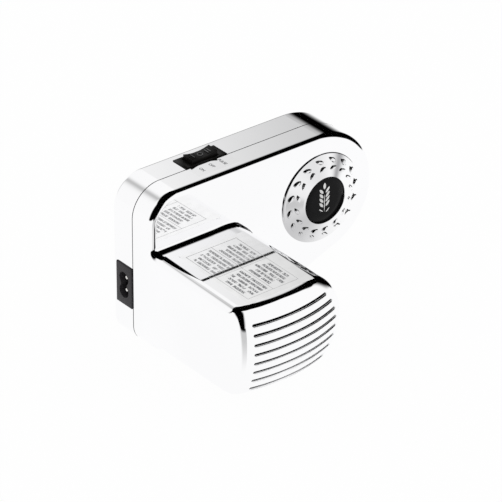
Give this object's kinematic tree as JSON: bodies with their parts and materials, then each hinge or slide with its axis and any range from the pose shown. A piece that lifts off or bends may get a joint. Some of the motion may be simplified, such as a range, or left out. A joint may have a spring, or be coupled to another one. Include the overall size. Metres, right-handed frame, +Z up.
{
  "type": "electric drive unit for a pasta roller machine",
  "caption": "Chromed electric drive unit: rounded side plate with round badge and rocker switch, slotted motor box in front, and a splined drive end at the back.",
  "frame": {"origin": "centre of the locating collar at the rear cover's back face, on the output axis", "axes": "+Y out of the back along the output axis towards the pasta machine, +X towards the rounded end, +Z up"},
  "size_m": [0.1714, 0.1455, 0.1102],
  "materials": {
    "front_housing": "mirror polished chrome plate",
    "rear_cover": "mirror polished chrome plate",
    "screw_posts": "moulded nylon",
    "badge_ring": "embossed, chrome plated",
    "badge_disc": "gloss black enamel",
    "badge_emblem": "white print",
    "switch_frame": "moulded, slight gloss",
    "rocker": "moulded, slight gloss",
    "rocker_marks": "white print",
    "switch_legend": "clear film",
    "inlet_body": "moulded, satin",
    "inlet_pins": "nickel plated brass",
    "rating_label": "clear film",
    "slot_screen": "fine perforated sheet",
    "gear_plate": "stamped sheet steel",
    "motor_can": "zinc plated steel",
    "motor_cap": "moulded",
    "motor_magnets": "ground ferrite",
    "armature": "stacked laminations",
    "commutator": "turned copper",
    "rotor_shaft": "ground steel",
    "motor_pinion": "cut brass",
    "cooling_fan": "moulded",
    "motor_bushes": "sintered bronze",
    "first_gear": "moulded acetal",
    "second_gear": "moulded acetal",
    "gear_axles": "ground steel",
    "output_gear": "moulded acetal",
    "output_shaft": "ground steel",
    "output_bushes": "sintered bronze",
    "locating_collar": "moulded nylon",
    "case_screws": "zinc plated",
    "motor_screws": "zinc plated",
    "suppressor_board": "lacquered board",
    "suppressor_parts": "moulded",
    "inner_wires": "insulated wire"
  },
  "bodies": {
    "housing": {"front_housing": "front_housing", "rear_cover": "rear_cover", "screw_posts": "screw_posts", "badge_ring": "badge_ring", "badge_disc": "badge_disc", "badge_emblem": "badge_emblem", "switch_frame": "switch_frame", "switch_legend": "switch_legend", "inlet_body": "inlet_body", "inlet_pins": "inlet_pins", "rating_label": "rating_label", "slot_screen": "slot_screen", "gear_plate": "gear_plate", "motor_can": "motor_can", "motor_cap": "motor_cap", "motor_magnets": "motor_magnets", "motor_bushes": "motor_bushes", "gear_axles": "gear_axles", "output_bushes": "output_bushes", "locating_collar": "locating_collar", "case_screws": "case_screws", "motor_screws": "motor_screws", "suppressor_board": "suppressor_board", "suppressor_parts": "suppressor_parts", "inner_wires": "inner_wires"},
    "rocker": {"rocker": "rocker", "rocker_marks": "rocker_marks"},
    "rotor": {"rotor_shaft": "rotor_shaft", "armature": "armature", "commutator": "commutator", "motor_pinion": "motor_pinion", "cooling_fan": "cooling_fan"},
    "first_wheel": {"first_gear": "first_gear"},
    "second_wheel": {"second_gear": "second_gear"},
    "output": {"output_gear": "output_gear", "output_shaft": "output_shaft"}
  },
  "joints": [
    {"name": "rotor_spin", "type": "hinge", "parent": "housing", "child": "rotor", "pos_m": [-0.091, 0, -0.028], "axis": [0, 1, 0], "continuous": true},
    {"name": "first_spin", "type": "hinge", "parent": "housing", "child": "first_wheel", "pos_m": [-0.061, 0, -0.028], "axis": [0, 1, 0], "continuous": true},
    {"name": "second_spin", "type": "hinge", "parent": "housing", "child": "second_wheel", "pos_m": [-0.03616, 0, -0.00782], "axis": [0, 1, 0], "continuous": true},
    {"name": "output_spin", "type": "hinge", "parent": "housing", "child": "output", "pos_m": [0, 0, 0], "axis": [0, 1, 0], "continuous": true},
    {"name": "rocker_tilt", "type": "hinge", "parent": "housing", "child": "rocker", "pos_m": [-0.073, -0.0127, 0.0405], "axis": [0, 1, 0], "range_deg": [-12, 12]}
  ],
  "couplings": [
    {"joint": "first_spin", "follows": "rotor_spin", "ratio": -0.25},
    {"joint": "second_spin", "follows": "rotor_spin", "ratio": 0.07},
    {"joint": "output_spin", "follows": "rotor_spin", "ratio": -0.01931}
  ]
}
